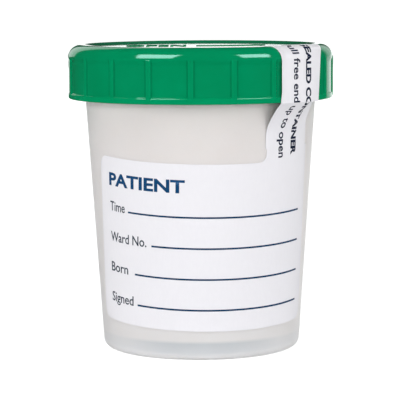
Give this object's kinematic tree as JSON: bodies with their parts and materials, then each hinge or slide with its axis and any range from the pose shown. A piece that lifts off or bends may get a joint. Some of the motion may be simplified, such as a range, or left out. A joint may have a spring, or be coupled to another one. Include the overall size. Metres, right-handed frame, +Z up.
{
  "type": "urine specimen container",
  "caption": "Tapered translucent specimen cup with a ribbed quick-turn screw lid, a wrap-around patient label and a peel-off paper strip sealing lid to cup.",
  "frame": {"origin": "centre of the standing ring under the cup, on the surface that the container stands on", "axes": "+Z up along the container's axis and the lid's turning axis, -Y through the front of the patient label, +X to the right of the front"},
  "size_m": [0.0662, 0.0662, 0.0762],
  "materials": {
    "cup_plastic": "translucent natural polypropylene, satin",
    "lid_plastic": "green polypropylene, semi-gloss",
    "label_paper": "coated white label paper, smooth",
    "liner_foam": "white closed-cell polyethylene foam"
  },
  "bodies": {
    "cup": {"cup": "cup_plastic", "patient_label": "label_paper"},
    "liner": {"sealing_liner": "liner_foam"},
    "lid": {"lid": "lid_plastic", "tamper_seal": "label_paper"},
    "seal_end": {"seal_tab": "label_paper"}
  },
  "joints": [
    {"name": "lid_lift", "type": "slide", "parent": "cup", "child": "liner", "axis": [0, 0, 1], "range_m": [0, 0.01801]},
    {"name": "lid_turn", "type": "hinge", "parent": "liner", "child": "lid", "pos_m": [0, 0, 0.069], "axis": [0, 0, 1], "range_deg": [0, 270]},
    {"name": "seal_peel", "type": "hinge", "parent": "lid", "child": "seal_end", "pos_m": [0.02217, -0.01969, 0.07618], "axis": [0.6639, 0.7478, 0], "range_deg": [0, 150]}
  ],
  "couplings": [
    {"joint": "lid_lift", "follows": "lid_turn", "m_per_rad": 0.0038197}
  ]
}
